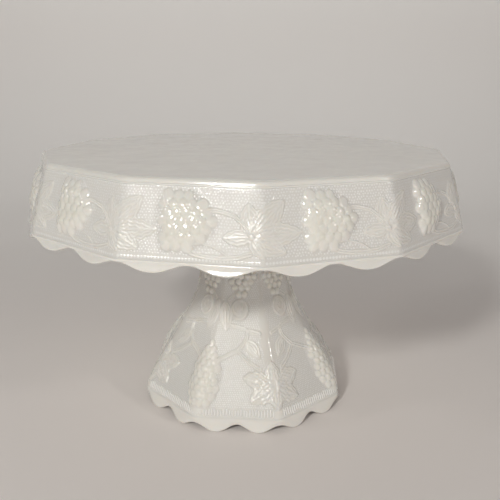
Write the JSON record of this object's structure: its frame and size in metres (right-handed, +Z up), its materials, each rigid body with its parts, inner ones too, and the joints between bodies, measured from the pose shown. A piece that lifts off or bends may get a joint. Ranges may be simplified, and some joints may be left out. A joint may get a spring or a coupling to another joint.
{
  "type": "footed cake stand",
  "caption": "Polygonal pressed-glass cake plate with a scalloped, relief-covered apron, fused to a hollow flared pedestal with a scalloped foot.",
  "frame": {"origin": "on the stand's axis, at the plane the foot rests on", "axes": "+Z up through the middle of the plate; +X and +Y each pass through a corner of the plate and a corner of the pedestal"},
  "size_m": [0.2844, 0.2844, 0.17],
  "materials": {
    "milk_glass": "opaque white milk glass, fire-polished, very glossy"
  },
  "bodies": {
    "root": {"cake_plate": "milk_glass", "joint_wafer": "milk_glass", "pedestal": "milk_glass"}
  },
  "joints": []
}
